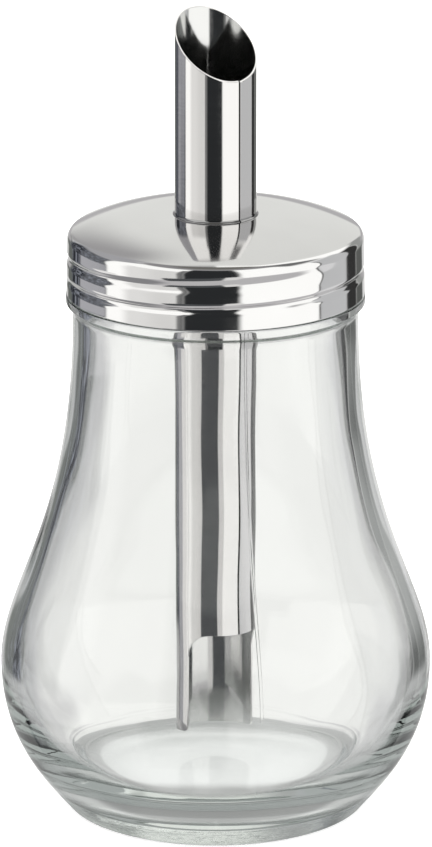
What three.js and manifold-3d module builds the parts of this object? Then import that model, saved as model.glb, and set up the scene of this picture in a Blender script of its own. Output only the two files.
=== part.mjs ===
// Sugar dispenser: a pear-shaped clear glass jar, a screwed cap of polished steel, and a
// pouring tube rolled from sheet steel that runs through the cap down to the jar's floor.
// It is empty. Millimetres, +Z up. The origin is the middle of the foot on the table, the
// front is -Y, and an azimuth is counted from the front towards +X.

import * as THREE from 'three';
import { mergeVertices } from 'three/addons/utils/BufferGeometryUtils.js';
import Module from 'manifold-3d';

const wasm = await Module();
wasm.setup();

// Glass jar. A reach is how far a side keeps its direction before it bends, as the handle
// of a curve does.
const BELLY_RADIUS = 39;
const BELLY_HEIGHT = 26.6;
const BELLY_REACH_UP = 14.2;
const BELLY_REACH_DOWN = 13.9;
const GLASS_WALL = 2.9;
const NECK_RADIUS = 25.6;
const NECK_TOP = 92.9;
const NECK_REACH = 41;
const NECK_WAIST = 0.45;
const BEAD_HEIGHT = 2.6;
const BEAD_PROUD = 1.25;
const FOOT_RADIUS = 26.5;
const FOOT_ROUNDING = 1.3;
const FOOT_REACH = 5.5;
const REST_RING_INNER = 23;
const RECESS_RADIUS = 21;
const RECESS_EDGE_HEIGHT = 1.2;
const RECESS_HEIGHT = 1.6;
const FLOOR_HEIGHT = 5.8;
const FLOOR_RADIUS = 23;
const FLOOR_REACH = 8.5;
const RIM_RADIUS = 25;
const RIM_HEIGHT = 105.2;
const RIM_ROUNDING = 0.8;
const JAR_SIDES = 56;

// Screwed cap
const CAP_RADIUS = 26.5;
const CAP_FLARE = 0.22;
const CAP_BOTTOM = 95.8;
const CAP_SHOULDER = 105.3;
const CAP_SHOULDER_ROUNDING = 1.8;
const CAP_TOP = 109.85;
const CAP_FLAT_RADIUS = 10;
const CAP_DOME_POWER = 2.43;
const CAP_EDGE_SLOPE = THREE.MathUtils.degToRad(25);
const CAP_SHEET = 0.6;
const CAP_INSIDE_RADIUS = 25.5;
const CAP_WALL_ROWS = 13;
const CAP_SIDES = 64;

// Rolled thread in the cap's side
const THREAD_START = THREE.MathUtils.degToRad(-100);
const THREAD_TURN = THREE.MathUtils.degToRad(475);
const THREAD_FADE = THREE.MathUtils.degToRad(35);
const THREAD_LOW = 98.15;
const THREAD_PITCH = 3.75;
const THREAD_HALF_WIDTH = 1.25;
const THREAD_DEPTH = 0.55;

// Pouring tube
const TUBE_RADIUS = 7.3;
const TUBE_SHEET = 0.5;
const TUBE_BOTTOM = 13.2;
const TUBE_CLEARANCE = 0.3;
const TUBE_SIDES = 48;
const STOP_BEAD_RADIUS = 0.38;
const MOUTH_MIDDLE = 140.75;
const MOUTH_SLOPE = THREE.MathUtils.degToRad(36.9);
const MOUTH_LOW_SIDE = THREE.MathUtils.degToRad(31);
const NOTCH_MIDDLE = THREE.MathUtils.degToRad(35);
const NOTCH_HALF_ANGLE = THREE.MathUtils.degToRad(79.4);
const NOTCH_TOP = 32.7;
const NOTCH_ROUNDING = 3.5;

const QUARTER = Math.PI / 2;
const FULL_TURN = Math.PI * 2;

const glass = new THREE.MeshStandardMaterial({
  name: 'clear_glass', color: 0xe4ebe7, roughness: 0.03, metalness: 0, transparent: true, opacity: 0.35,
});
const capSteel = new THREE.MeshStandardMaterial({
  name: 'polished_cap_steel', color: 0xc9c8ca, roughness: 0.08, metalness: 1,
});
const tubeSteel = new THREE.MeshStandardMaterial({
  name: 'polished_tube_steel', color: 0xc4c3c2, roughness: 0.1, metalness: 1,
});

function point([radius, height]) {
  return new THREE.Vector2(radius, height);
}

function bezier(corners, steps) {
  return new THREE.CubicBezierCurve(...corners.map(point)).getPoints(steps);
}

function arc([radius, height], [across, up], from, to, steps) {
  return new THREE.EllipseCurve(radius, height, across, up, from, to, to < from).getPoints(steps);
}

// Turns a closed outline, or one that starts and ends on the axis, about +Z.
function turned(outline, sides) {
  const geometry = new THREE.LatheGeometry(outline, sides);
  geometry.rotateX(QUARTER);
  return welded(geometry);
}

function welded(geometry) {
  geometry.deleteAttribute('normal');
  geometry.deleteAttribute('uv');
  return mergeVertices(geometry, 1e-4);
}

function toSolid(geometry) {
  return new wasm.Manifold(new wasm.Mesh({
    numProp: 3,
    vertProperties: Float32Array.from(geometry.attributes.position.array),
    triVerts: Uint32Array.from(geometry.index.array),
  }));
}

function toGeometry(solid) {
  const mesh = solid.getMesh();
  const geometry = new THREE.BufferGeometry();
  geometry.setAttribute('position', new THREE.BufferAttribute(Float32Array.from(mesh.vertProperties), 3));
  geometry.setIndex(Array.from(mesh.triVerts));
  return geometry;
}

// Outline of the jar from the middle of its underside, up the outside, over the rim and
// down the inside to the middle of its floor.
function jarOutline() {
  const footEdge = [
    FOOT_RADIUS + FOOT_ROUNDING * Math.SQRT1_2,
    FOOT_ROUNDING * (1 - Math.SQRT1_2),
  ];
  const footLean = FOOT_REACH * Math.SQRT1_2;
  const underside = [
    [0, RECESS_HEIGHT],
    [RECESS_RADIUS, RECESS_EDGE_HEIGHT],
    [REST_RING_INNER, 0],
  ].map(point);
  const foot = arc([FOOT_RADIUS, FOOT_ROUNDING], [FOOT_ROUNDING, FOOT_ROUNDING], -QUARTER, -QUARTER / 2, 2);
  const lowerSide = bezier([
    footEdge,
    [footEdge[0] + footLean, footEdge[1] + footLean],
    [BELLY_RADIUS, BELLY_HEIGHT - BELLY_REACH_DOWN],
    [BELLY_RADIUS, BELLY_HEIGHT],
  ], 6);
  const upperSide = bezier([
    [BELLY_RADIUS, BELLY_HEIGHT],
    [BELLY_RADIUS, BELLY_HEIGHT + BELLY_REACH_UP],
    [NECK_RADIUS - NECK_WAIST, NECK_TOP - NECK_REACH],
    [NECK_RADIUS, NECK_TOP],
  ], 9);
  const bead = arc([NECK_RADIUS, NECK_TOP + BEAD_HEIGHT / 2], [BEAD_PROUD, BEAD_HEIGHT / 2], -QUARTER, QUARTER, 6);
  const inside = NECK_RADIUS - GLASS_WALL;
  const bellyInside = BELLY_RADIUS - GLASS_WALL;
  const rim = [
    [RIM_RADIUS, NECK_TOP + BEAD_HEIGHT],
    [RIM_RADIUS, RIM_HEIGHT - RIM_ROUNDING],
    [RIM_RADIUS - RIM_ROUNDING, RIM_HEIGHT],
    [inside + RIM_ROUNDING, RIM_HEIGHT],
    [inside, RIM_HEIGHT - RIM_ROUNDING],
  ].map(point);
  const upperInside = bezier([
    [inside, NECK_TOP],
    [inside - NECK_WAIST, NECK_TOP - NECK_REACH],
    [bellyInside, BELLY_HEIGHT + BELLY_REACH_UP],
    [bellyInside, BELLY_HEIGHT],
  ], 8);
  const lowerInside = bezier([
    [bellyInside, BELLY_HEIGHT],
    [bellyInside, BELLY_HEIGHT - BELLY_REACH_DOWN + GLASS_WALL],
    [FLOOR_RADIUS + FLOOR_REACH, FLOOR_HEIGHT],
    [FLOOR_RADIUS, FLOOR_HEIGHT],
  ], 5);
  return [
    ...underside, ...foot, ...lowerSide.slice(1), ...upperSide.slice(1), ...bead.slice(1),
    ...rim, ...upperInside, ...lowerInside.slice(1), point([0, FLOOR_HEIGHT]),
  ];
}

// Height of the cap's domed top: level round the tube, then falling faster to the shoulder.
function domeHeight(radius) {
  const edgeRadius = CAP_RADIUS - CAP_SHOULDER_ROUNDING * (1 - Math.sin(CAP_EDGE_SLOPE));
  const edgeHeight = CAP_SHOULDER + CAP_SHOULDER_ROUNDING * Math.cos(CAP_EDGE_SLOPE);
  const share = Math.max(0, radius - CAP_FLAT_RADIUS) / (edgeRadius - CAP_FLAT_RADIUS);
  return CAP_TOP - (CAP_TOP - edgeHeight) * share ** CAP_DOME_POWER;
}

// Outline of the cap as a plain cup, before its thread is rolled in.
function capOutline() {
  const holeRadius = TUBE_RADIUS + TUBE_CLEARANCE;
  const wall = [];
  for (let row = 0; row < CAP_WALL_ROWS; row += 1) {
    const share = row / CAP_WALL_ROWS;
    const height = CAP_BOTTOM + (CAP_SHOULDER - CAP_BOTTOM) * share;
    wall.push(point([CAP_RADIUS + CAP_FLARE * (1 - share), height]));
  }
  const middle = [CAP_RADIUS - CAP_SHOULDER_ROUNDING, CAP_SHOULDER];
  const rounding = [CAP_SHOULDER_ROUNDING, CAP_SHOULDER_ROUNDING];
  const shoulder = arc(middle, rounding, 0, QUARTER - CAP_EDGE_SLOPE, 3);
  const domeRadii = [24, 21.5, 18.5, 15, CAP_FLAT_RADIUS, holeRadius];
  const dome = domeRadii.map((radius) => point([radius, domeHeight(radius)]));
  const under = [...domeRadii].reverse().map((radius) => point([radius, domeHeight(radius) - CAP_SHEET]));
  const inside = [
    [CAP_INSIDE_RADIUS, CAP_SHOULDER],
    [CAP_INSIDE_RADIUS, CAP_BOTTOM],
  ].map(point);
  return [...wall, ...shoulder, ...dome, ...under, ...inside, wall[0]];
}

// Depth of the rolled thread at a place on the cap's side: one groove that climbs once and
// a bit round the cap and fades out at both ends.
function threadDepth(azimuth, height) {
  let deepest = 0;
  const first = THREE.MathUtils.euclideanModulo(azimuth - THREAD_START, FULL_TURN);
  for (let turn = first; turn < THREAD_TURN; turn += FULL_TURN) {
    const middle = THREAD_LOW + THREAD_PITCH * turn / FULL_TURN;
    const offset = Math.min(1, Math.abs(height - middle) / THREAD_HALF_WIDTH);
    const fadeIn = THREE.MathUtils.smoothstep(turn, 0, THREAD_FADE);
    const fadeOut = THREE.MathUtils.smoothstep(THREAD_TURN - turn, 0, THREAD_FADE);
    deepest = Math.max(deepest, THREAD_DEPTH * Math.cos(offset * QUARTER) ** 2 * fadeIn * fadeOut);
  }
  return deepest;
}

function rollThread(geometry) {
  const position = geometry.attributes.position;
  const outside = (CAP_RADIUS + CAP_INSIDE_RADIUS) / 2;
  for (let i = 0; i < position.count; i += 1) {
    const x = position.getX(i);
    const y = position.getY(i);
    const z = position.getZ(i);
    const radius = Math.hypot(x, y);
    if (radius > outside && z < CAP_SHOULDER) {
      const shrink = 1 - threadDepth(Math.atan2(x, -y), z) / radius;
      position.setXY(i, x * shrink, y * shrink);
    }
  }
  return geometry;
}

// A straight tube with the small stop bead that sits on the cap.
function plainTube() {
  const inside = TUBE_RADIUS - TUBE_SHEET;
  const top = MOUTH_MIDDLE + TUBE_RADIUS;
  const beadHeight = CAP_TOP + TUBE_CLEARANCE + STOP_BEAD_RADIUS;
  const stopBead = arc([TUBE_RADIUS, beadHeight], [STOP_BEAD_RADIUS, STOP_BEAD_RADIUS], -QUARTER, QUARTER, 4);
  const outline = [
    point([inside, TUBE_BOTTOM]),
    point([TUBE_RADIUS, TUBE_BOTTOM]),
    ...stopBead,
    point([TUBE_RADIUS, top]),
    point([inside, top]),
    point([inside, TUBE_BOTTOM]),
  ];
  return turned(outline, TUBE_SIDES);
}

// Everything above the slanted mouth, as a block that leans with it.
function aboveMouth() {
  const size = TUBE_RADIUS * 6;
  const block = new THREE.BoxGeometry(size, size, size);
  block.translate(0, 0, size / 2);
  block.rotateX(MOUTH_SLOPE);
  block.rotateZ(MOUTH_LOW_SIDE);
  block.translate(0, 0, MOUTH_MIDDLE);
  return welded(block);
}

// The cut-out at the tube's lower end. Its corners are quarter rounds in the flat sheet,
// so each is narrowed here as the rolled sheet turns away from the middle of the cut-out.
function notchBlock() {
  const reach = TUBE_RADIUS * 2;
  const halfLength = TUBE_RADIUS * NOTCH_HALF_ANGLE;
  const corner = [];
  for (let step = 0; step <= 4; step += 1) {
    const angle = QUARTER * step / 4;
    const along = halfLength - NOTCH_ROUNDING * (1 - Math.cos(angle));
    const height = NOTCH_TOP - NOTCH_ROUNDING * (1 - Math.sin(angle));
    corner.push([TUBE_RADIUS * Math.sin(along / TUBE_RADIUS), height]);
  }
  const right = [[reach, 0], [reach, NOTCH_TOP - NOTCH_ROUNDING], ...corner];
  const left = [...right].reverse().map(([across, height]) => [-across, height]);
  const outline = new THREE.Shape([...right, ...left].map(point));
  const block = new THREE.ExtrudeGeometry(outline, { depth: reach, bevelEnabled: false });
  block.rotateX(QUARTER);
  block.translate(0, -(TUBE_RADIUS - TUBE_SHEET / 2) * Math.cos(NOTCH_HALF_ANGLE), 0);
  block.rotateZ(NOTCH_MIDDLE);
  return welded(block);
}

function pouringTube() {
  const tube = toSolid(plainTube());
  return toGeometry(tube.subtract(toSolid(aboveMouth())).subtract(toSolid(notchBlock())));
}

function piece(name, geometry, material) {
  const mesh = new THREE.Mesh(geometry, material);
  mesh.name = name;
  return mesh;
}

const sugarDispenser = new THREE.Group();
sugarDispenser.add(piece('glass_jar', turned(jarOutline(), JAR_SIDES), glass));
sugarDispenser.add(piece('screw_cap', rollThread(turned(capOutline(), CAP_SIDES)), capSteel));
sugarDispenser.add(piece('pouring_tube', pouringTube(), tubeSteel));

export default sugarDispenser;
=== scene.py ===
# Sugar dispenser: a pear-shaped clear glass jar, a screwed cap of polished steel, and a pouring
# tube rolled from sheet steel. Meshes are shaped in millimetres and scaled to metres when done.

import math

import bmesh
import bpy
from mathutils import Matrix, Vector, noise
from mathutils.geometry import interpolate_bezier


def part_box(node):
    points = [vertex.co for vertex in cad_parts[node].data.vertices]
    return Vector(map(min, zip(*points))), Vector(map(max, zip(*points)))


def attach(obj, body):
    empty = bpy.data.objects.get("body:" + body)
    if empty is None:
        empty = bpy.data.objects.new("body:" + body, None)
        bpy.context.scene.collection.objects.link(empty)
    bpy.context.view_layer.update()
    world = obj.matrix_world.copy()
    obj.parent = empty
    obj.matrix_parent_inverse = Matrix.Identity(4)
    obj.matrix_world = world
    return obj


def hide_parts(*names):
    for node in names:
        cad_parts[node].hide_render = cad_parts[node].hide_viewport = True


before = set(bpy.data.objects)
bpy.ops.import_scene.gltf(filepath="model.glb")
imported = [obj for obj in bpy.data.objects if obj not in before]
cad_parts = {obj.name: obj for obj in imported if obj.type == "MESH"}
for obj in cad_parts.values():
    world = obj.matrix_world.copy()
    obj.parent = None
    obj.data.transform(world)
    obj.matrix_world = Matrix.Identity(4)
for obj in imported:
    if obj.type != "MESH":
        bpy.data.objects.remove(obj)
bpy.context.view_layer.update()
scene = bpy.context.scene

# Camera
# A long lens in front of the dispenser, 1.1 m away, that looks down on it by 17 degrees.
camera_place = Vector((0, -1.1, 0.402))
camera_aim = Vector((0, 0, 0.07073))
camera_data = bpy.data.cameras.new("camera")
camera_data.lens = 271.66
camera_data.sensor_width = 36
camera_data.shift_x = 0.0004
camera = bpy.data.objects.new("camera", camera_data)
camera.location = camera_place
camera.rotation_euler = (camera_aim - camera_place).to_track_quat("-Z", "Y").to_euler()
scene.collection.objects.link(camera)
scene.camera = camera

# Glass jar
# Blown clear glass, 3 mm thick at the side and thicker in the floor, with a recess under the
# foot, a bead round the neck and a plain rim inside the cap. Its outline is turned full circle.
QUARTER = math.pi / 2


def curve(start, lean_out, lean_in, end, steps):
    corners = [Vector((radius, 0, height)) for radius, height in (start, lean_out, lean_in, end)]
    return [(place.x, place.z) for place in interpolate_bezier(*corners, steps + 1)]


def arc(middle, radius, first, last, steps):
    turns = [first + (last - first) * step / steps for step in range(steps + 1)]
    return [(middle[0] + radius * math.cos(turn), middle[1] + radius * math.sin(turn)) for turn in turns]


def turned(outline, steps, closed=False):
    mesh = bmesh.new()
    places = [mesh.verts.new((radius, 0, height)) for radius, height in outline]
    for here, there in zip(places, places[1:] + places[:1] * closed):
        mesh.edges.new((here, there))
    around = mesh.verts[:] + mesh.edges[:]
    bmesh.ops.spin(
        mesh, geom=around, cent=(0, 0, 0), axis=(0, 0, 1), angle=math.tau, steps=steps, use_merge=True
    )
    bmesh.ops.remove_doubles(mesh, verts=mesh.verts, dist=1e-4)
    bmesh.ops.recalc_face_normals(mesh, faces=mesh.faces)
    return mesh


def finished_piece(mesh, name, material):
    bmesh.ops.scale(mesh, vec=(0.001, 0.001, 0.001), verts=mesh.verts)
    data = bpy.data.meshes.new(name)
    mesh.to_mesh(data)
    mesh.free()
    data.shade_smooth()
    data.materials.append(material)
    piece = bpy.data.objects.new(name, data)
    scene.collection.objects.link(piece)
    return piece


def new_material(name):
    material = bpy.data.materials.new(name)
    material.use_nodes = True
    tree = material.node_tree
    return material, tree, tree.nodes["Principled BSDF"]


belly_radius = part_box("glass_jar")[1].x * 1000
rim_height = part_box("glass_jar")[1].z * 1000
belly_height = 26.4
reach_up = 14.2
reach_down = 14.5
glass_wall = 2.9
neck_radius = 25.6
neck_top = 93.7
neck_reach = 41.8
neck_waist = 0.45
bead_height = 1.7
bead_radius = 26.8
bead_rounding = 0.35
foot_radius = 26.6
foot_rounding = 1.1
foot_lean = 5.6
foot_slope = math.radians(51.4)
foot_edge = (
    foot_radius + foot_rounding * math.sin(foot_slope),
    foot_rounding * (1 - math.cos(foot_slope)),
)
ring_inner = 24.2
ring_lean = 18
recess_lean = 14
recess_radius = 8
recess_height = 0.3
floor_height = 6.1
floor_radius = 21.5
floor_reach = 5.6
rim_radius = 25
rim_rounding = 0.8
neck_inside = neck_radius - glass_wall
belly_inside = belly_radius - glass_wall

jar_outline = [
    (0, recess_height),
    (recess_radius / 2, recess_height),
    *curve(
        (recess_radius, recess_height),
        (recess_lean, recess_height),
        (ring_lean, 0),
        (ring_inner, 0),
        24,
    ),
    *arc((foot_radius, foot_rounding), foot_rounding, -QUARTER, foot_slope - QUARTER, 6),
    *curve(
        foot_edge,
        (foot_edge[0] + foot_lean * math.cos(foot_slope), foot_edge[1] + foot_lean * math.sin(foot_slope)),
        (belly_radius, belly_height - reach_down),
        (belly_radius, belly_height),
        80,
    )[1:],
    *curve(
        (belly_radius, belly_height),
        (belly_radius, belly_height + reach_up),
        (neck_radius - neck_waist, neck_top - neck_reach),
        (neck_radius, neck_top),
        64,
    )[1:],
    *arc((bead_radius - bead_rounding, neck_top + bead_rounding), bead_rounding, -QUARTER, 0, 5),
    *arc(
        (bead_radius - bead_rounding, neck_top + bead_height - bead_rounding),
        bead_rounding,
        0,
        QUARTER,
        5,
    ),
    (rim_radius, neck_top + bead_height),
    (rim_radius, rim_height - rim_rounding),
    *arc((rim_radius - rim_rounding, rim_height - rim_rounding), rim_rounding, 0, QUARTER, 5)[1:],
    *arc((neck_inside + rim_rounding, rim_height - rim_rounding), rim_rounding, QUARTER, math.pi, 5),
    *curve(
        (neck_inside, neck_top),
        (neck_inside - neck_waist, neck_top - neck_reach),
        (belly_inside, belly_height + reach_up),
        (belly_inside, belly_height),
        60,
    ),
    *curve(
        (belly_inside, belly_height),
        (belly_inside, belly_height - reach_down + glass_wall),
        (floor_radius + floor_reach, floor_height),
        (floor_radius, floor_height),
        40,
    )[1:],
    (floor_radius / 2, floor_height),
    (0, floor_height),
]

# The glass is stippled on its resting ring and streaked at its foot. A mould seam runs up two
# sides of its outer wall, and long shallow waves run all over it.
mould_azimuth = math.radians(12.4)
glass, glass_tree, glass_shader = new_material("clear_glass")
glass_shader.inputs["Base Color"].default_value = (1, 1, 1, 1)
glass_shader.inputs["IOR"].default_value = 1.52
glass_shader.inputs["Transmission Weight"].default_value = 1
glass_place = glass_tree.nodes.new("ShaderNodeTexCoord").outputs["Object"]
glass_height = glass_tree.nodes.new("ShaderNodeSeparateXYZ")
glass_tree.links.new(glass_place, glass_height.inputs[0])
stipple_height = glass_tree.nodes.new("ShaderNodeMapRange")
stipple_height.inputs["From Min"].default_value = 0.0012
stipple_height.inputs["From Max"].default_value = 0.0005
stipple_height.inputs["To Max"].default_value = 0.22
glass_tree.links.new(glass_height.outputs["Z"], stipple_height.inputs["Value"])
glass_tree.links.new(stipple_height.outputs["Result"], glass_shader.inputs["Roughness"])
glass_streaks = glass_tree.nodes.new("ShaderNodeMapping")
glass_streaks.inputs["Scale"].default_value = (1, 1, 0.25)
glass_tree.links.new(glass_place, glass_streaks.inputs["Vector"])
glass_waves = glass_tree.nodes.new("ShaderNodeTexNoise")
glass_waves.inputs["Scale"].default_value = 260
glass_waves.inputs["Detail"].default_value = 1
glass_tree.links.new(glass_streaks.outputs["Vector"], glass_waves.inputs["Vector"])
foot_streaks = glass_tree.nodes.new("ShaderNodeMapping")
foot_streaks.inputs["Scale"].default_value = (1, 1, 9)
glass_tree.links.new(glass_place, foot_streaks.inputs["Vector"])
foot_waves = glass_tree.nodes.new("ShaderNodeTexNoise")
foot_waves.inputs["Scale"].default_value = 330
foot_waves.inputs["Detail"].default_value = 2
glass_tree.links.new(foot_streaks.outputs["Vector"], foot_waves.inputs["Vector"])
glass_facing = glass_tree.nodes.new("ShaderNodeVectorMath")
glass_facing.operation = "DOT_PRODUCT"
glass_tree.links.new(glass_place, glass_facing.inputs[0])
glass_tree.links.new(glass_tree.nodes["Texture Coordinate"].outputs["Normal"], glass_facing.inputs[1])
outer_wall = glass_tree.nodes.new("ShaderNodeMath")
outer_wall.operation = "GREATER_THAN"
outer_wall.inputs[1].default_value = 0.015
glass_tree.links.new(glass_facing.outputs["Value"], outer_wall.inputs[0])
foot_here = glass_tree.nodes.new("ShaderNodeMapRange")
foot_here.inputs["From Min"].default_value = 0.0040
foot_here.inputs["From Max"].default_value = 0.0034
foot_here.inputs["To Max"].default_value = 3
glass_tree.links.new(glass_height.outputs["Z"], foot_here.inputs["Value"])
across_mould = glass_tree.nodes.new("ShaderNodeVectorMath")
across_mould.operation = "DOT_PRODUCT"
across_mould.inputs[1].default_value = (math.cos(mould_azimuth), math.sin(mould_azimuth), 0)
glass_tree.links.new(glass_place, across_mould.inputs[0])
mould_width = glass_tree.nodes.new("ShaderNodeMath")
mould_width.operation = "ABSOLUTE"
glass_tree.links.new(across_mould.outputs["Value"], mould_width.inputs[0])
mould_line = glass_tree.nodes.new("ShaderNodeMapRange")
mould_line.interpolation_type = "SMOOTHSTEP"
mould_line.inputs["From Min"].default_value = 0.00014
mould_line.inputs["From Max"].default_value = 0
mould_line.inputs["To Max"].default_value = 0.2
glass_tree.links.new(mould_width.outputs[0], mould_line.inputs["Value"])
glass_relief = glass_tree.nodes.new("ShaderNodeMath")
glass_relief.operation = "MULTIPLY_ADD"
glass_tree.links.new(foot_waves.outputs[0], glass_relief.inputs[0])
glass_tree.links.new(foot_here.outputs["Result"], glass_relief.inputs[1])
glass_tree.links.new(mould_line.outputs["Result"], glass_relief.inputs[2])
outer_relief = glass_tree.nodes.new("ShaderNodeMath")
outer_relief.operation = "MULTIPLY"
glass_tree.links.new(glass_relief.outputs[0], outer_relief.inputs[0])
glass_tree.links.new(outer_wall.outputs[0], outer_relief.inputs[1])
glass_sum = glass_tree.nodes.new("ShaderNodeMath")
glass_sum.operation = "MULTIPLY_ADD"
glass_sum.inputs[1].default_value = 0.25
glass_tree.links.new(glass_waves.outputs[0], glass_sum.inputs[0])
glass_tree.links.new(outer_relief.outputs[0], glass_sum.inputs[2])
glass_bump = glass_tree.nodes.new("ShaderNodeBump")
glass_bump.inputs["Strength"].default_value = 1
glass_bump.inputs["Distance"].default_value = 0.00004
glass_tree.links.new(glass_sum.outputs[0], glass_bump.inputs["Height"])
glass_tree.links.new(glass_bump.outputs["Normal"], glass_shader.inputs["Normal"])
glass_depth = glass_tree.nodes.new("ShaderNodeVolumeAbsorption")
glass_depth.inputs["Color"].default_value = (0.75, 0.84, 0.77, 1)
glass_depth.inputs["Density"].default_value = 9
glass_tree.links.new(glass_depth.outputs["Volume"], glass_tree.nodes["Material Output"].inputs["Volume"])

# The jar's surfaces wave a little, the inside more than the outside, and a fine groove runs round
# the outside just above the foot.
jar_sides = 224
wave_bottom = 0.5
inside_bottom = 4
outward_limit = 0.3
inner_waviness = 0.14
outer_waviness = 0.03
wave_scale = 0.07
wave_start = Vector((44.4, 15.6, 25.2))
groove_depth = 0.12
groove_height = 3.8
groove_width = 0.35

jar_mesh = turned(jar_outline, jar_sides)
jar_mesh.normal_update()
for place in jar_mesh.verts:
    if wave_bottom < place.co.z < neck_top:
        outward = place.normal.xy.dot(place.co.xy)
        inside = place.co.z > inside_bottom and outward < outward_limit * place.co.xy.length
        waviness = inner_waviness if inside else outer_waviness
        place.co += place.normal * waviness * noise.noise(place.co * wave_scale + wave_start)
        if not inside:
            from_groove = (place.co.z - groove_height) / groove_width
            place.co -= place.normal * groove_depth * math.exp(-(from_groove**2))

jar = finished_piece(jar_mesh, "jar", glass)
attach(jar, "root")
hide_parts("glass_jar")

# Screw cap
# Thin polished stainless sheet, pressed to a shallow dome with a rounded shoulder. A right-hand
# thread is rolled into its side, once and a bit round, so that it grips the jar's rim.
cap_radius = 26.5
cap_flare = 0.22
edge_lowering = 0.3
cap_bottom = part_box("screw_cap")[0].z * 1000 - edge_lowering
cap_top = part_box("screw_cap")[1].z * 1000
cap_shoulder = 105.3
shoulder_rounding = 1.8
flat_radius = 10
dome_edge = 24.9
dome_rows = 40
dome_power = 2.43
edge_slope = math.radians(25)
cap_sheet = 0.6
cap_inside = 25.5
outside_from = cap_inside + 0.2
cap_sides = 288
wall_rows = 44
hole_radius = 7.4
thread_start = math.radians(-100)
thread_turn = math.radians(518)
thread_fade = math.radians(45)
thread_low = 98.15
thread_pitch = 3.75
thread_half_width = 1.05
thread_depth = 0.5
thread_end_turn = math.radians(130)
thread_end_rise = 0.45
thread_end_widening = 0.75
edge_rounding = 0.15


def smooth_step(value):
    share = min(1, max(0, value))
    return share * share * (3 - 2 * share)


def dome_height(radius):
    edge_radius = cap_radius - shoulder_rounding * (1 - math.sin(edge_slope))
    edge_height = cap_shoulder + shoulder_rounding * math.cos(edge_slope)
    share = max(0, radius - flat_radius) / (edge_radius - flat_radius)
    return cap_top - (cap_top - edge_height) * share**dome_power


def thread_at(azimuth, height):
    """Gives the thread's depth at a place on the cap's side. After one turn it widens and rises."""
    deepest = 0
    turn = (azimuth - thread_start) % math.tau
    while turn < thread_turn:
        late = smooth_step((turn - math.tau) / thread_end_turn)
        middle = thread_low + thread_pitch * turn / math.tau + thread_end_rise * late
        offset = min(1, abs(height - middle) / (thread_half_width + thread_end_widening * late))
        fade = smooth_step(turn / thread_fade) * smooth_step((thread_turn - turn) / thread_fade)
        deepest = max(deepest, thread_depth * math.cos(offset * QUARTER) ** 2 * fade)
        turn += math.tau
    return deepest


cap_wall = [
    (
        cap_radius + cap_flare * (1 - row / wall_rows),
        cap_bottom + (cap_shoulder - cap_bottom) * row / wall_rows,
    )
    for row in range(1, wall_rows)
]
dome_radii = [
    hole_radius + (dome_edge - hole_radius) * row / dome_rows for row in range(dome_rows, -1, -1)
]
cap_outline = [
    *arc(
        (cap_radius + cap_flare - edge_rounding, cap_bottom + edge_rounding),
        edge_rounding,
        -QUARTER,
        0,
        4,
    ),
    *cap_wall,
    *arc(
        (cap_radius - shoulder_rounding, cap_shoulder),
        shoulder_rounding,
        0,
        QUARTER - edge_slope,
        12,
    ),
    *[(radius, dome_height(radius)) for radius in dome_radii],
    *[(radius, dome_height(radius) - cap_sheet) for radius in reversed(dome_radii)],
    (cap_inside, cap_shoulder),
    (cap_inside, cap_bottom),
]
cap_mesh = turned(cap_outline, cap_sides, closed=True)
for place in cap_mesh.verts:
    radius = math.hypot(place.co.x, place.co.y)
    if radius > outside_from and place.co.z < cap_shoulder:
        shrink = 1 - thread_at(math.atan2(place.co.x, -place.co.y), place.co.z) / radius
        place.co.x *= shrink
        place.co.y *= shrink

cap_steel, cap_tree, cap_shader = new_material("polished_cap_steel")
cap_shader.inputs["Metallic"].default_value = 1
cap_place = cap_tree.nodes.new("ShaderNodeTexCoord").outputs["Object"]
cap_stains = cap_tree.nodes.new("ShaderNodeTexNoise")
cap_stains.inputs["Scale"].default_value = 90
cap_stains.inputs["Detail"].default_value = 5
cap_tree.links.new(cap_place, cap_stains.inputs["Vector"])
cap_tint = cap_tree.nodes.new("ShaderNodeMix")
cap_tint.data_type = "RGBA"
cap_tint.inputs["A"].default_value = (0.70, 0.695, 0.69, 1)
cap_tint.inputs["B"].default_value = (0.775, 0.77, 0.765, 1)
cap_tree.links.new(cap_stains.outputs[0], cap_tint.inputs["Factor"])
cap_tree.links.new(cap_tint.outputs["Result"], cap_shader.inputs["Base Color"])
cap_gloss = cap_tree.nodes.new("ShaderNodeMapRange")
cap_gloss.inputs["From Min"].default_value = 0.3
cap_gloss.inputs["From Max"].default_value = 0.7
cap_gloss.inputs["To Min"].default_value = 0.035
cap_gloss.inputs["To Max"].default_value = 0.10
cap_tree.links.new(cap_stains.outputs[0], cap_gloss.inputs["Value"])
cap_tree.links.new(cap_gloss.outputs["Result"], cap_shader.inputs["Roughness"])
cap_grain = cap_tree.nodes.new("ShaderNodeTexNoise")
cap_grain.inputs["Scale"].default_value = 420
cap_grain.inputs["Detail"].default_value = 2
cap_tree.links.new(cap_place, cap_grain.inputs["Vector"])
cap_bump = cap_tree.nodes.new("ShaderNodeBump")
cap_bump.inputs["Strength"].default_value = 0.3
cap_bump.inputs["Distance"].default_value = 0.000006
cap_tree.links.new(cap_grain.outputs[0], cap_bump.inputs["Height"])
cap_tree.links.new(cap_bump.outputs["Normal"], cap_shader.inputs["Normal"])

cap = finished_piece(cap_mesh, "cap", cap_steel)
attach(cap, "root")
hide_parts("screw_cap")

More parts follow.
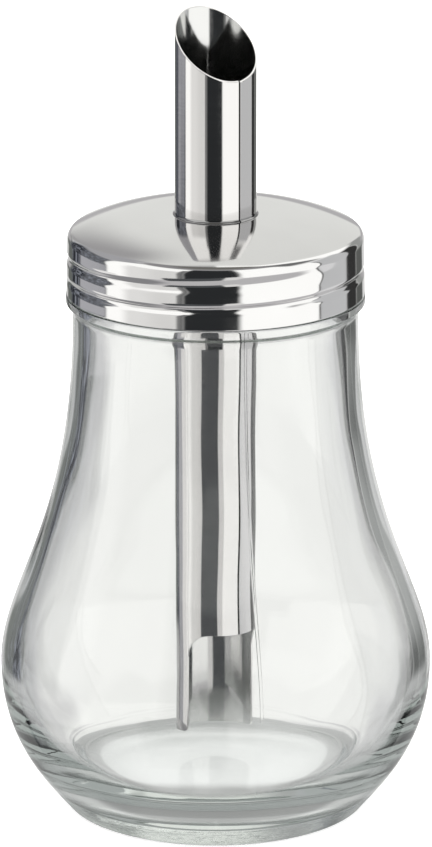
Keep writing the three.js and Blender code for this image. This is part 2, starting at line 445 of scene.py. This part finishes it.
# Pouring tube
# A flat blank of polished stainless sheet with its two lower corners cut out, rolled until its
# long sides meet in a welded seam, one of them a little proud. A collar is pressed out where it
# rests on the cap, and its mouth is cut off on a slant. Its inside is duller than its outside.
tube_radius = 7.3
tube_sheet = 0.3
tube_bottom = 12.5
bottom_slant = 1.4
slant_limit = 20
blank_top = 150
seam_azimuth = math.radians(35)
seam_gap = 0.2
seam_lift = 0.17
seam_lift_width = 2.3
notch_angle = math.radians(79.4)
notch_top = 32.7
notch_rounding = 5
tip_rounding = 0.8
collar_proud = 0.38
collar_start = 0.02
collar_height = 0.55
collar_rows = 10
collar_crowding = 1.3
mouth_middle = 140.75
mouth_slope = math.radians(36.9)
mouth_low_side = math.radians(31)
mouth_row = 0.3
tube_columns = 192
cut_angle = math.radians(50)
cut_rounding = 0.05
inward_limit = 0.8
shading_angle = math.radians(12)

half_blank = math.pi * tube_radius - seam_gap / 2
half_strip = (math.pi - notch_angle) * tube_radius
right_side = [
    *arc((half_strip - tip_rounding, tube_bottom + tip_rounding), tip_rounding, -QUARTER, 0, 4),
    *arc(
        (half_strip + notch_rounding, notch_top - notch_rounding),
        notch_rounding,
        math.pi,
        QUARTER,
        8,
    ),
    (half_blank, notch_top),
    (half_blank, blank_top),
]
blank = bmesh.new()
blank_outline = right_side + [(-across, height) for across, height in reversed(right_side)]
sheet = blank.faces.new([blank.verts.new((across, 0, height)) for across, height in blank_outline])
inner_sheet = bmesh.ops.extrude_face_region(blank, geom=[sheet], use_keep_orig=True)
inner_places = [part for part in inner_sheet["geom"] if isinstance(part, bmesh.types.BMVert)]
bmesh.ops.translate(blank, vec=(0, tube_sheet, 0), verts=inner_places)


def cut_blank(place, facing, clear_outer=False):
    """Cuts the blank's faces along a plane, and takes away what lies beyond it if told to."""
    everything = blank.verts[:] + blank.edges[:] + blank.faces[:]
    return bmesh.ops.bisect_plane(
        blank, geom=everything, dist=1e-5, plane_co=place, plane_no=facing, clear_outer=clear_outer
    )


for column in range(1, tube_columns):
    across = half_blank * (2 * column / tube_columns - 1)
    cut_blank((across, 0, 0), (1, 0, 0))
for row in range(collar_rows):
    height = cap_top + collar_start + collar_height * (row / (collar_rows - 1)) ** collar_crowding
    cut_blank((0, 0, height), (0, 0, 1))
for place in blank.verts:
    closing = 1 + seam_gap / 2 / half_blank * place.co.y / tube_sheet
    azimuth = seam_azimuth + math.pi + place.co.x * closing / tube_radius
    from_seam = place.co.x + half_blank
    radius = tube_radius - place.co.y + seam_lift * max(0, 1 - from_seam / seam_lift_width) ** 2
    collar_share = (place.co.z - cap_top) / collar_height
    if place.co.y < tube_sheet / 2 and 0 < collar_share < 1:
        radius += collar_proud * (1 - collar_share) ** 2
    if place.co.z < slant_limit:
        low_share = (slant_limit - place.co.z) / (slant_limit - tube_bottom)
        place.co.z += bottom_slant * low_share * math.cos(azimuth)
    place.co.x = radius * math.sin(azimuth)
    place.co.y = -radius * math.cos(azimuth)
bmesh.ops.recalc_face_normals(blank, faces=blank.faces)
mouth_facing = Vector((0, 0, 1))
mouth_facing.rotate(Matrix.Rotation(mouth_slope, 3, "X"))
mouth_facing.rotate(Matrix.Rotation(mouth_low_side, 3, "Z"))
cut_blank((0, 0, mouth_middle - mouth_row), mouth_facing)
cut = cut_blank((0, 0, mouth_middle), mouth_facing, clear_outer=True)
cut_edges = [part for part in cut["geom_cut"] if isinstance(part, bmesh.types.BMEdge)]
bmesh.ops.holes_fill(blank, edges=cut_edges, sides=0)
bmesh.ops.recalc_face_normals(blank, faces=blank.faces)
sharp_edges = [edge for edge in blank.edges if edge.calc_face_angle(0) > cut_angle]
bmesh.ops.bevel(
    blank,
    geom=sharp_edges,
    offset=cut_rounding,
    affect="EDGES",
    segments=2,
    profile=0.5,
    material=-1,
)

# The outside has fine lines round it, a dark weld along the seam, and a band darkened at the foot of the
# collar, where it meets the cap.
tube_steel, tube_tree, tube_shader = new_material("polished_tube_steel")
tube_shader.inputs["Metallic"].default_value = 1
tube_place = tube_tree.nodes.new("ShaderNodeTexCoord").outputs["Object"]
across_seam = tube_tree.nodes.new("ShaderNodeVectorMath")
across_seam.operation = "DOT_PRODUCT"
across_seam.inputs[1].default_value = (math.cos(seam_azimuth), math.sin(seam_azimuth), 0)
tube_tree.links.new(tube_place, across_seam.inputs[0])
toward_seam = tube_tree.nodes.new("ShaderNodeVectorMath")
toward_seam.operation = "DOT_PRODUCT"
toward_seam.inputs[1].default_value = (math.sin(seam_azimuth), -math.cos(seam_azimuth), 0)
tube_tree.links.new(tube_place, toward_seam.inputs[0])
weld_width = tube_tree.nodes.new("ShaderNodeMath")
weld_width.operation = "ABSOLUTE"
tube_tree.links.new(across_seam.outputs["Value"], weld_width.inputs[0])
weld_edge = tube_tree.nodes.new("ShaderNodeMapRange")
weld_edge.inputs["From Min"].default_value = 0.00016
weld_edge.inputs["From Max"].default_value = 0.00009
tube_tree.links.new(weld_width.outputs[0], weld_edge.inputs["Value"])
weld_side = tube_tree.nodes.new("ShaderNodeMath")
weld_side.operation = "GREATER_THAN"
weld_side.inputs[1].default_value = 0
tube_tree.links.new(toward_seam.outputs["Value"], weld_side.inputs[0])
weld = tube_tree.nodes.new("ShaderNodeMath")
weld.operation = "MULTIPLY"
tube_tree.links.new(weld_edge.outputs["Result"], weld.inputs[0])
tube_tree.links.new(weld_side.outputs[0], weld.inputs[1])
tube_height = tube_tree.nodes.new("ShaderNodeSeparateXYZ")
tube_tree.links.new(tube_place, tube_height.inputs[0])
# The collar is darker at its foot, where it meets the cap.
collar_top = tube_tree.nodes.new("ShaderNodeMapRange")
collar_top.inputs["From Min"].default_value = 0.11042
collar_top.inputs["From Max"].default_value = 0.11022
collar_top.inputs["To Max"].default_value = 0.75
tube_tree.links.new(tube_height.outputs["Z"], collar_top.inputs["Value"])
above_cap = tube_tree.nodes.new("ShaderNodeMath")
above_cap.operation = "GREATER_THAN"
above_cap.inputs[1].default_value = 0.1095
tube_tree.links.new(tube_height.outputs["Z"], above_cap.inputs[0])
collar_here = tube_tree.nodes.new("ShaderNodeMath")
collar_here.operation = "MULTIPLY"
tube_tree.links.new(collar_top.outputs["Result"], collar_here.inputs[0])
tube_tree.links.new(above_cap.outputs[0], collar_here.inputs[1])
darkened_here = tube_tree.nodes.new("ShaderNodeMath")
darkened_here.operation = "MAXIMUM"
tube_tree.links.new(weld.outputs[0], darkened_here.inputs[0])
tube_tree.links.new(collar_here.outputs[0], darkened_here.inputs[1])
tube_colour = tube_tree.nodes.new("ShaderNodeMix")
tube_colour.data_type = "RGBA"
tube_colour.inputs["A"].default_value = (0.72, 0.71, 0.70, 1)
tube_colour.inputs["B"].default_value = (0.22, 0.22, 0.22, 1)
tube_tree.links.new(darkened_here.outputs[0], tube_colour.inputs["Factor"])
tube_tree.links.new(tube_colour.outputs["Result"], tube_shader.inputs["Base Color"])
drawn_scale = tube_tree.nodes.new("ShaderNodeMapping")
drawn_scale.inputs["Scale"].default_value = (1, 1, 12)
tube_tree.links.new(tube_place, drawn_scale.inputs["Vector"])
drawn_lines = tube_tree.nodes.new("ShaderNodeTexNoise")
drawn_lines.inputs["Scale"].default_value = 180
drawn_lines.inputs["Detail"].default_value = 3
tube_tree.links.new(drawn_scale.outputs["Vector"], drawn_lines.inputs["Vector"])
tube_gloss = tube_tree.nodes.new("ShaderNodeMapRange")
tube_gloss.inputs["To Min"].default_value = 0.02
tube_gloss.inputs["To Max"].default_value = 0.12
tube_tree.links.new(drawn_lines.outputs[0], tube_gloss.inputs["Value"])
tube_tree.links.new(tube_gloss.outputs["Result"], tube_shader.inputs["Roughness"])
tube_bump = tube_tree.nodes.new("ShaderNodeBump")
tube_bump.inputs["Strength"].default_value = 0.06
tube_bump.inputs["Distance"].default_value = 0.00001
tube_tree.links.new(drawn_lines.outputs[0], tube_bump.inputs["Height"])
tube_tree.links.new(tube_bump.outputs["Normal"], tube_shader.inputs["Normal"])

inner_steel, inner_tree, inner_shader = new_material("dull_inner_steel")
inner_shader.inputs["Base Color"].default_value = (0.70, 0.70, 0.69, 1)
inner_shader.inputs["Metallic"].default_value = 1
inner_place = inner_tree.nodes.new("ShaderNodeTexCoord").outputs["Object"]
inner_grain = inner_tree.nodes.new("ShaderNodeTexNoise")
inner_grain.inputs["Scale"].default_value = 700
inner_tree.links.new(inner_place, inner_grain.inputs["Vector"])
inner_gloss = inner_tree.nodes.new("ShaderNodeMapRange")
inner_gloss.inputs["To Min"].default_value = 0.06
inner_gloss.inputs["To Max"].default_value = 0.16
inner_tree.links.new(inner_grain.outputs[0], inner_gloss.inputs["Value"])
inner_tree.links.new(inner_gloss.outputs["Result"], inner_shader.inputs["Roughness"])

tube = finished_piece(blank, "tube", tube_steel)
tube.data.materials.append(inner_steel)
for face in tube.data.polygons:
    if face.normal.xy.dot(face.center.xy) < -inward_limit * face.center.xy.length:
        face.material_index = 1
tube.data.set_sharp_from_angle(angle=shading_angle)
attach(tube, "root")
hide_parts("pouring_tube")

# Table
# A plain white table top that runs out of sight behind the dispenser. A round underlay beneath it
# stands for the table in what the glass and the steel show of it.
table_reach = 3000
table_mesh = bmesh.new()
bmesh.ops.create_grid(table_mesh, x_segments=1, y_segments=1, size=table_reach)
table_paint, _, table_shader = new_material("white_table")
table_shader.inputs["Base Color"].default_value = (0.9, 0.9, 0.9, 1)
table_shader.inputs["Roughness"].default_value = 0.8
table_shader.inputs["Specular IOR Level"].default_value = 0
table_shader.inputs["Emission Color"].default_value = (1, 1, 1, 1)
table_shader.inputs["Emission Strength"].default_value = 0.45
table = finished_piece(table_mesh, "table", table_paint)
table.visible_diffuse = False
table.visible_glossy = False
table.visible_transmission = False
table.visible_shadow = False

# The underlay glows with painted light in place of the lit table top. A painted contact shadow darkens it
# round where the foot rests and towards its edge, and painted shade darkens it in front of the middle.
underlay_radius = 30
underlay_height = -0.1
underlay_mesh = bmesh.new()
bmesh.ops.create_circle(underlay_mesh, cap_ends=True, segments=96, radius=underlay_radius)
bmesh.ops.translate(underlay_mesh, vec=(0, 0, underlay_height), verts=underlay_mesh.verts)
underlay_paint, underlay_tree, underlay_shader = new_material("pale_underlay")
underlay_shader.inputs["Base Color"].default_value = (0, 0, 0, 1)
underlay_shader.inputs["Specular IOR Level"].default_value = 0
underlay_shader.inputs["Emission Color"].default_value = (0.98, 1.0, 0.98, 1)
underlay_place = underlay_tree.nodes.new("ShaderNodeTexCoord").outputs["Object"]
from_middle = underlay_tree.nodes.new("ShaderNodeVectorMath")
from_middle.operation = "LENGTH"
underlay_tree.links.new(underlay_place, from_middle.inputs[0])
# Painted contact shadow, set by the distance from the middle.
contact_shade = underlay_tree.nodes.new("ShaderNodeFloatCurve")
shade_curve = contact_shade.mapping.curves[0]
shade_curve.points[0].location = (0, 0.93)
shade_curve.points[1].location = (1, 0.60)
for share, brightness in ((0.72, 0.92), (0.77, 0.66), (0.88, 0.60), (0.92, 0.45)):
    shade_curve.points.new(share, brightness)
shade_scale = underlay_tree.nodes.new("ShaderNodeMath")
shade_scale.operation = "MULTIPLY"
shade_scale.inputs[1].default_value = 1000 / underlay_radius
underlay_tree.links.new(from_middle.outputs["Value"], shade_scale.inputs[0])
underlay_tree.links.new(shade_scale.outputs[0], contact_shade.inputs["Value"])
underlay_parts = underlay_tree.nodes.new("ShaderNodeSeparateXYZ")
underlay_tree.links.new(underlay_place, underlay_parts.inputs[0])
# Painted shade in front of the middle.
front_shade = underlay_tree.nodes.new("ShaderNodeMapRange")
front_shade.interpolation_type = "SMOOTHSTEP"
front_shade.inputs["From Min"].default_value = -0.0175
front_shade.inputs["From Max"].default_value = -0.0125
front_shade.inputs["To Min"].default_value = 0.5
underlay_tree.links.new(underlay_parts.outputs["Y"], front_shade.inputs["Value"])
shaded = underlay_tree.nodes.new("ShaderNodeMath")
shaded.operation = "MULTIPLY"
underlay_tree.links.new(contact_shade.outputs[0], shaded.inputs[0])
underlay_tree.links.new(front_shade.outputs["Result"], shaded.inputs[1])
underlay_tree.links.new(shaded.outputs[0], underlay_shader.inputs["Emission Strength"])
underlay = finished_piece(underlay_mesh, "underlay", underlay_paint)
underlay.visible_camera = False

# Light
# A white studio tent all round the dispenser. What the polished steel shows of it is painted on
# by azimuth from the camera's side and by elevation: the dark gap where the camera looks in, the
# cluttered room to the left, a grey wall with a dark post to the right, and a dim ceiling.
world = bpy.data.worlds.new("studio")
world.use_nodes = True
scene.world = world
sky = world.node_tree


def math_node(operation, *values):
    node = sky.nodes.new("ShaderNodeMath")
    node.operation = operation
    for socket, value in zip(node.inputs, values):
        if isinstance(value, bpy.types.NodeSocket):
            sky.links.new(value, socket)
        else:
            socket.default_value = value
    return node.outputs[0]


direction = sky.nodes.new("ShaderNodeTexCoord").outputs["Generated"]
parts = sky.nodes.new("ShaderNodeSeparateXYZ")
sky.links.new(direction, parts.inputs[0])
toward_front = math_node("MULTIPLY", parts.outputs["Y"], -1.0)
sky_azimuth = math_node("ARCTAN2", parts.outputs["X"], toward_front)
sky_elevation = math_node("ARCSINE", parts.outputs["Z"])


def ramp(value, start, end):
    node = sky.nodes.new("ShaderNodeMapRange")
    node.interpolation_type = "SMOOTHSTEP"
    sky.links.new(value, node.inputs["Value"])
    node.inputs["From Min"].default_value = math.radians(start)
    node.inputs["From Max"].default_value = math.radians(end)
    return node.outputs["Result"]


def between(value, low, high, soft):
    return math_node("MULTIPLY", ramp(value, low - soft, low + soft), ramp(value, high + soft, high - soft))


def mixed(share, first, second):
    mix = sky.nodes.new("ShaderNodeMix")
    mix.data_type = "RGBA"
    sky.links.new(share, mix.inputs["Factor"])
    for socket, value in ((mix.inputs["A"], first), (mix.inputs["B"], second)):
        if isinstance(value, bpy.types.NodeSocket):
            sky.links.new(value, socket)
        else:
            socket.default_value = (*value, 1)
    return mix.outputs["Result"]


sky_colour = (1.32, 1.32, 1.30)


def sky_patch(left, right, low, high, colour, soft=2.0, soft_up=4.0):
    """Paints one part of the surroundings, given by its azimuths and elevations in degrees."""
    global sky_colour
    here = math_node(
        "MULTIPLY", between(sky_azimuth, left, right, soft), between(sky_elevation, low, high, soft_up)
    )
    sky_colour = mixed(here, sky_colour, colour)


# Floor, ceiling and back wall
sky_patch(-210, 210, -110, -30, (0.60, 0.59, 0.60), soft_up=5)
sky_patch(-120, -58, -66, -34, (0.30, 0.30, 0.31), soft=10, soft_up=6)
sky_patch(-210, 112, 59, 120, (0.33, 0.325, 0.33), soft_up=4)
sky_patch(149, 210, -110, 66, (0.875, 0.88, 0.855), soft=5)
sky_patch(-210, -149, -110, 66, (0.875, 0.88, 0.855), soft=5)
sky_patch(-210, 210, 74, 120, (0.19, 0.185, 0.17))
sky_patch(-166, -146, 6, 54, (0.42, 0.415, 0.42), soft=9, soft_up=9)
sky_patch(68, 112, 40, 66, (0.20, 0.20, 0.20), soft=5, soft_up=8)

# Pale screen left of the front, its edge, and the dark gap
sky_patch(-74, -27, -30, 30, (0.97, 0.965, 0.95), soft=6)
sky_patch(-52, -27, -30, 30, (0.87, 0.865, 0.85), soft=10)
sky_patch(-30, -25, -30, 45, (0.24, 0.24, 0.24), soft=1.5)
sky_patch(-25.5, 18.5, -30, 60, (0.028, 0.03, 0.032), soft=3, soft_up=5)

# Grey wall to the right, its edge, and the dark post and what stands behind it
sky_patch(88, 121, -34, 36, (0.64, 0.645, 0.655), soft=1.5)
sky_patch(86.5, 88.5, -34, 32, (0.15, 0.15, 0.15), soft=0.7)
sky_patch(121, 139, -34, 26, (0.04, 0.04, 0.04), soft=1.5)
sky_patch(139, 157, -34, 26, (0.38, 0.39, 0.38), soft=2)
sky_patch(139, 157, -34, -12, (0.10, 0.105, 0.10), soft=2)
sky_patch(157, 166, -34, 6, (0.76, 0.76, 0.76), soft=3)

# Cluttered room to the left
sky_patch(-152, -94, 26, 60, (0.45, 0.45, 0.47), soft=3)
sky_patch(-170, -160, -34, 6, (0.68, 0.68, 0.68), soft=3)
sky_patch(-160, -94, -34, 8, (0.15, 0.16, 0.15), soft=3)
sky_patch(-146, -94, -34, 28, (0.03, 0.032, 0.038), soft=2)
sky_patch(-126, -94, -34, 28, (0.13, 0.135, 0.15), soft=3)
clutter = sky.nodes.new("ShaderNodeTexNoise")
sky.links.new(direction, clutter.inputs["Vector"])
clutter.inputs["Scale"].default_value = 16
clutter.inputs["Detail"].default_value = 3
clutter_share = sky.nodes.new("ShaderNodeMapRange")
sky.links.new(clutter.outputs[0], clutter_share.inputs["Value"])
clutter_share.inputs["From Min"].default_value = 0.48
clutter_share.inputs["From Max"].default_value = 0.66
clutter_here = math_node("MULTIPLY", between(sky_azimuth, -150, -98, 4), between(sky_elevation, -34, 28, 4))
clutter_here = math_node("MULTIPLY", clutter_here, clutter_share.outputs["Result"])
sky_colour = mixed(clutter_here, sky_colour, (0.30, 0.32, 0.37))

# Lower strips, at the level that upright walls mirror
sky_patch(-129, -94, -34, -13.3, (0.50, 0.50, 0.53), soft_up=0.2)
sky_patch(-110, -84, -34, -15.3, (1.02, 1.01, 1.0), soft_up=0.4)
sky_patch(7, 22, -46, -15.3, (0.88, 0.87, 0.86), soft_up=0.4)
sky_patch(-176, -133, -110, -26, (0.66, 0.66, 0.655), soft=2, soft_up=2)
sky_patch(133, 174, -110, -26, (0.68, 0.68, 0.675), soft=2, soft_up=2)
sky_patch(-166, -133, -110, -20, (0.54, 0.545, 0.54), soft_up=2)
sky_patch(136, 166, -110, -20, (0.54, 0.545, 0.54), soft_up=2)
sky_patch(-42, 7, -46, -15.3, (0.09, 0.095, 0.10), soft_up=0.4)
sky_patch(89, 121, -34, -15.2, (0.85, 0.85, 0.86), soft_up=0.5)

# Horizon behind
sky_patch(150, 210, -3, 6, (0.50, 0.49, 0.50), soft=3, soft_up=1.5)
sky_patch(-210, -150, -3, 6, (0.50, 0.49, 0.50), soft=3, soft_up=1.5)

# What has been mirrored three times or more is an even grey. What is seen through the glass
# towards the front, with no mirror between, is pale. Dull surfaces and the background get an
# even white.
ray_kind = sky.nodes.new("ShaderNodeLightPath")
often_reflected = math_node("GREATER_THAN", ray_kind.outputs["Glossy Depth"], 2.5)
sky_colour = mixed(often_reflected, sky_colour, (0.42, 0.43, 0.435))
seen_through = math_node(
    "MULTIPLY",
    math_node("GREATER_THAN", ray_kind.outputs["Transmission Depth"], 0.5),
    math_node("LESS_THAN", ray_kind.outputs["Glossy Depth"], 0.5),
)
front_seen_through = math_node("MULTIPLY", seen_through, between(sky_azimuth, -46, 26, 4))
sky_colour = mixed(front_seen_through, sky_colour, (0.9, 0.9, 0.89))
sky_colour = mixed(ray_kind.outputs["Is Diffuse Ray"], sky_colour, (2.4, 2.4, 2.4))
sky_colour = mixed(ray_kind.outputs["Is Camera Ray"], sky_colour, (1.05, 1.05, 1.05))
sky.links.new(sky_colour, sky.nodes["Background"].inputs["Color"])

scene.view_settings.view_transform = "Standard"
scene.cycles.max_bounces = 32
scene.cycles.transmission_bounces = 24
scene.cycles.glossy_bounces = 24
